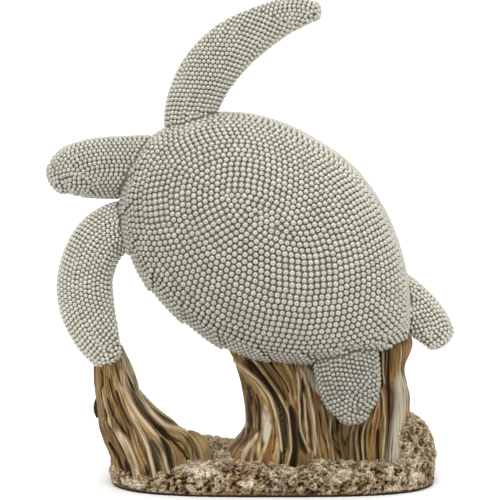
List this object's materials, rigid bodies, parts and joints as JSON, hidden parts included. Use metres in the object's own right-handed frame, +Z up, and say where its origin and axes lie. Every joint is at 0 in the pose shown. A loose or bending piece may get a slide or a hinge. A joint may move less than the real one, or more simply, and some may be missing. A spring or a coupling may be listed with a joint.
{
  "type": "bead-textured resin sea turtle sculpture on a driftwood-like stand",
  "caption": "Cast-resin swimming sea turtle with an all-over beaded skin, banked to show its shell, on a pleated driftwood-look stand over rough ground.",
  "frame": {"origin": "on the stand's flat underside, below the middle of the sculpture", "axes": "+Z up; -Y towards the side that shows the shell's back; +X towards the tail, -X towards the head"},
  "size_m": [0.2214, 0.0995, 0.2604],
  "materials": {
    "beaded_resin": "glossy pearl-like beads in warm light grey over darker grey-olive gaps, painted cast resin",
    "driftwood_resin": "satin painted cast resin: brown and ochre grooves, cream and silver crests, pitted beige ground"
  },
  "bodies": {
    "root": {"turtle": "beaded_resin", "base": "driftwood_resin"}
  },
  "joints": []
}
